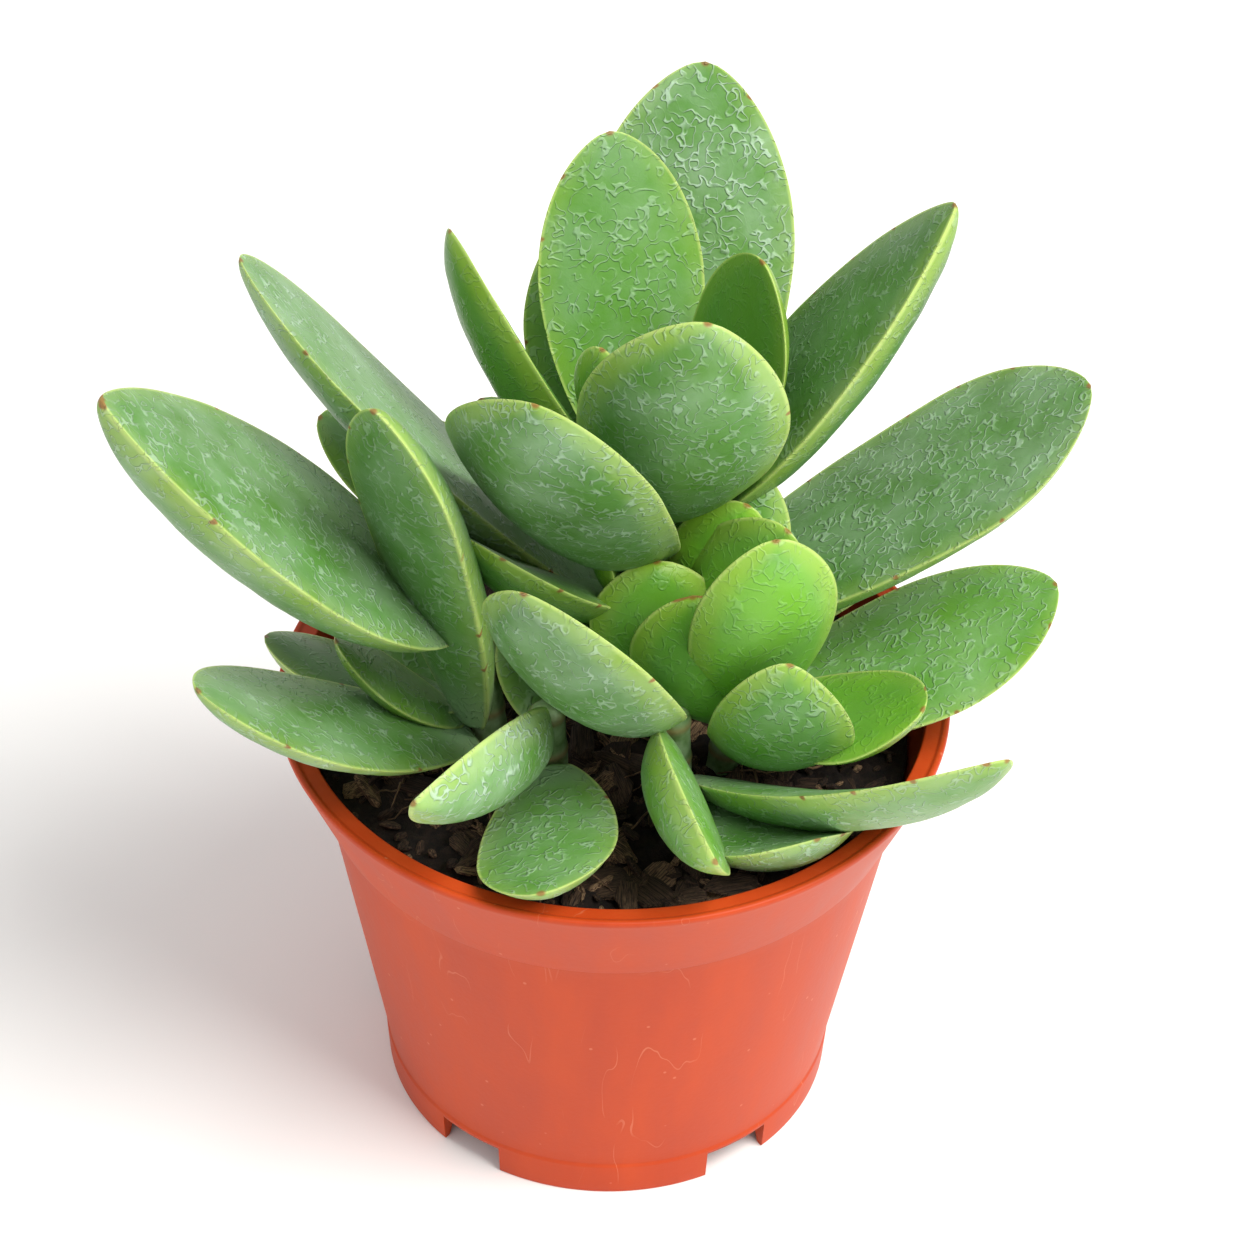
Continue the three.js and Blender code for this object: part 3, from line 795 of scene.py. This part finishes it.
def make_soil(peat):
    """The filling of the pot, with a lumpy top."""
    edge = soil_edge()
    bottom_radius = FOOT_TOP_RADIUS - WALL - FLOOR_EASE - SOIL_GAP
    profile = [
        (0, FLOOR_HEIGHT + SOIL_GAP),
        (bottom_radius, FLOOR_HEIGHT + SOIL_GAP),
        (FOOT_TOP_RADIUS - WALL - SOIL_GAP, FLOOR_HEIGHT + FLOOR_EASE + SOIL_GAP),
        (BAND_RADIUS - WALL - SOIL_GAP, BAND_BOTTOM),
        (edge, SOIL_TOP),
    ]
    for ring in range(SOIL_RINGS - 1, -1, -1):
        profile.append((edge * ring / SOIL_RINGS, SOIL_TOP))
    places, faces = turned(profile, SOIL_SIDES)
    shaped = []
    for x, y, z in places:
        if z > SOIL_TOP - 0.01:
            z = soil_height(x, y)
        shaped.append((x, y, z))
    piece = make_piece("potting_soil", shaped, faces, peat)
    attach(piece, "root")
    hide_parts("soil")


def random_axes(draw, tilt):
    """Three random directions at right angles, the third within tilt of upright."""
    spin = draw.uniform(0, 2 * math.pi)
    lean = draw.gauss(0, tilt)
    toward = draw.uniform(0, 2 * math.pi)
    up = np.array([math.sin(lean) * math.cos(toward), math.sin(lean) * math.sin(toward), math.cos(lean)])
    first = np.array([math.cos(spin), math.sin(spin), 0.0])
    first -= up * first.dot(up)
    first /= np.linalg.norm(first)
    return first, np.cross(up, first), up


def clear_of_stems(x, y, room):
    """Whether a place on the soil is at least room mm from every stem."""
    for foot, _, radius in SHOOTS.values():
        if math.hypot(x - foot[0], y - foot[1]) < radius + room:
            return False
    return True


def scatter_place(draw, room):
    """A random place on the soil, room mm inside its edge and off the stems."""
    reach = soil_edge() - room
    while True:
        x = draw.uniform(-reach, reach)
        y = draw.uniform(-reach, reach)
        if math.hypot(x, y) < reach and clear_of_stems(x, y, room * 0.5):
            return x, y


def make_bark(bark):
    """Bark chips: torn flakes, 2 to 11 mm long, lying in and on the peat."""
    draw = random.Random(41)
    places = []
    faces = []
    tans = []
    grains = []
    for _ in range(CHIP_COUNT):
        large = draw.random() < LARGE_SHARE
        length = draw.uniform(*(LARGE_LENGTHS if large else SMALL_LENGTHS))
        width = length * draw.uniform(0.35, 0.75)
        thick = draw.uniform(0.7, 1.8) if large else draw.uniform(0.5, 1.4)
        x, y = scatter_place(draw, length * 0.5 + 0.6)
        first, second, up = random_axes(draw, 0.42 if large else 0.7)
        ground = soil_height(x, y) + draw.uniform(-0.3, 0.9)
        centre = np.array([x, y, ground])
        tan = draw.uniform(0.55, 1.0) if draw.random() < TAN_SHARE else draw.uniform(0.0, 0.22)
        start = len(places)
        corners = 11 if large else 7
        shape = [draw.uniform(0.68, 1.12) for _ in range(corners)]
        twist = draw.uniform(-0.25, 0.25)
        offset = draw.uniform(0, 50)
        for layer, grow in ((-1, 0.72), (-0.35, 1.0), (0.35, 0.97), (1, 0.66)):
            for corner in range(corners):
                angle = 2 * math.pi * corner / corners
                u = math.cos(angle) * shape[corner] * grow
                v = math.sin(angle) * shape[corner] * grow
                rough = draw.uniform(-0.12, 0.12)
                high = layer * 0.5 + rough + twist * u * 1.5
                places.append(centre + first * u * length / 2 + second * v * width / 2 + up * high * thick)
                grains.append((u * 0.4 + offset, v * width * 1.6, high * 2.0))
                tans.append(tan)
        for layer in range(3):
            for corner in range(corners):
                after = (corner + 1) % corners
                low = start + layer * corners
                faces.append((low + corner, low + after, low + corners + after, low + corners + corner))
        faces.append(tuple(start + corner for corner in reversed(range(corners))))
        faces.append(tuple(start + 3 * corners + corner for corner in range(corners)))
    piece = make_piece("bark_chips", places, faces, bark, {"tan": tans, "grain": grains}, smooth=False)
    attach(piece, "root")


def make_fibres(bark):
    """Loose root and straw fibres: thin bent threads, 6 to 20 mm long, lying on the soil."""
    draw = random.Random(17)
    places = []
    faces = []
    tans = []
    grains = []
    sides = 5
    steps = 9
    for fibre in range(FIBRE_COUNT):
        length = draw.uniform(*FIBRE_LENGTHS)
        radius = draw.uniform(*FIBRE_RADII)
        x, y = scatter_place(draw, 9.0)
        heading = draw.uniform(0, 2 * math.pi)
        bend = draw.uniform(-1.6, 1.6)
        lift = draw.uniform(0.6, 2.2)
        start = len(places)
        for step in range(steps + 1):
            s = step / steps
            angle = heading + bend * s
            x += math.cos(angle) * length / steps
            y += math.sin(angle) * length / steps
            inside = min(1.0, (soil_edge() - 1.0) / max(math.hypot(x, y), 0.001))
            x *= inside
            y *= inside
            z = soil_height(x, y) + 0.5 + lift * math.sin(math.pi * s)
            cross = np.array([-math.sin(angle), math.cos(angle), 0.0])
            fine = radius * (1 - 0.6 * s)
            for j in range(sides):
                turn_round = 2 * math.pi * j / sides
                ring = cross * math.cos(turn_round) + np.array([0.0, 0.0, 1.0]) * math.sin(turn_round)
                places.append(np.array([x, y, z]) + ring * fine)
                grains.append((s * 2 + fibre, math.cos(turn_round), math.sin(turn_round)))
                tans.append(0.9)
        for step in range(steps):
            for j in range(sides):
                after = (j + 1) % sides
                low = start + step * sides
                faces.append((low + j, low + sides + j, low + sides + after, low + after))
        faces.append(tuple(start + j for j in range(sides)))
        faces.append(tuple(start + steps * sides + j for j in reversed(range(sides))))
    piece = make_piece("soil_fibres", places, faces, bark, {"tan": tans, "grain": grains})
    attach(piece, "root")


def make_camera():
    """The photograph's view: from the front and above, slightly rolled, with a long lens."""
    e = math.radians(ELEVATION)
    r = math.radians(ROLL)
    back = Vector((0.0, -math.cos(e), math.sin(e)))
    right = Vector((1.0, 0.0, 0.0))
    up = Vector((0.0, math.sin(e), math.cos(e)))
    view_x = right * math.cos(r) + up * math.sin(r)
    view_y = up * math.cos(r) - right * math.sin(r)
    target = Vector(LOOK_AT)
    lens = bpy.data.cameras.new("camera")
    lens.lens = FOCAL_PIXELS / PHOTO_WIDTH * SENSOR
    lens.sensor_width = SENSOR
    lens.clip_start = 0.01
    lens.clip_end = 20.0
    camera = bpy.data.objects.new("camera", lens)
    bpy.context.scene.collection.objects.link(camera)
    placing = camera.matrix_world.copy()
    for row in range(3):
        placing[row][0] = view_x[row]
        placing[row][1] = view_y[row]
        placing[row][2] = back[row]
        placing[row][3] = (target[row] + back[row] * DISTANCE) * MM
    camera.matrix_world = placing
    bpy.context.scene.camera = camera


def make_light(name, place, size, power, colour="#FFFFFF"):
    """A square soft box at a place in metres, aimed at the plant."""
    lamp = bpy.data.lights.new(name, "AREA")
    lamp.size = size
    lamp.energy = power
    lamp.color = linear(colour)[:3]
    light = bpy.data.objects.new(name, lamp)
    light.location = place
    aim = Vector((0.0, 0.0, 0.09)) - Vector(place)
    light.rotation_euler = aim.to_track_quat("-Z", "Y").to_euler()
    bpy.context.scene.collection.objects.link(light)


def make_studio():
    """A white paper floor, soft light all round, and a key from the upper right."""
    half = 3000.0
    corners = [(-half, -half, 0), (half, -half, 0), (half, half, 0), (-half, half, 0)]
    floor = make_piece("studio_floor", corners, [(0, 1, 2, 3)], studio_paper(), smooth=False)
    world = bpy.data.worlds.new("studio")
    bpy.context.scene.world = world
    world.use_nodes = True
    surround = world.node_tree.nodes["Background"]
    surround.inputs["Color"].default_value = linear("#FFFFFF")
    surround.inputs["Strength"].default_value = 0.62
    make_light("key", (0.60, -0.35, 1.05), 0.75, 19.0, "#FFFDF9")
    make_light("fill", (-0.8, -0.8, 0.8), 0.9, 2.0)
    bpy.context.scene.view_settings.view_transform = "Standard"


make_camera()
make_studio()
skin = crassula_skin()
for row in LEAVES:
    make_leaf(row, skin)
rind = stem_rind()
for key in SHOOTS:
    make_stem(key, rind)
make_pot(pot_polypropylene())
make_soil(damp_peat())
bark = torn_bark()
make_bark(bark)
make_fibres(bark)
